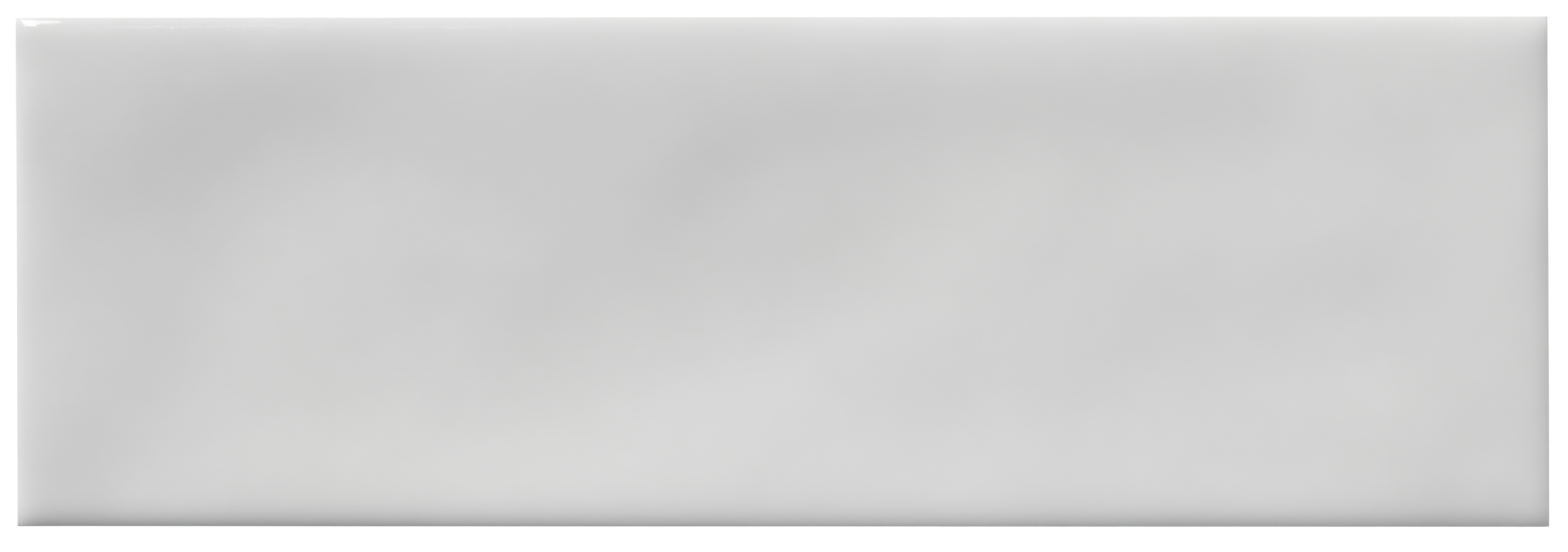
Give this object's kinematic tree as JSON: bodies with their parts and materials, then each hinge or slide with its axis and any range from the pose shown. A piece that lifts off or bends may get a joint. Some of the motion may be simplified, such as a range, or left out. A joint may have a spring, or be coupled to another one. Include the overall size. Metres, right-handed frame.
{
  "type": "field tile",
  "caption": "Oblong glazed ceramic wall tile with a gently wavy glossy face, cushioned edges, square sides and a flat back for bedding in adhesive.",
  "frame": {"origin": "on the flat back, at the middle of the tile's bounding box", "axes": "+X along the length, +Y across the width, +Z out of the glazed face; the tile lies on its back"},
  "size_m": [0.3004, 0.1002, 0.0095],
  "materials": {
    "glaze": "gloss"
  },
  "bodies": {
    "root": {"field_tile": "glaze"}
  },
  "joints": []
}
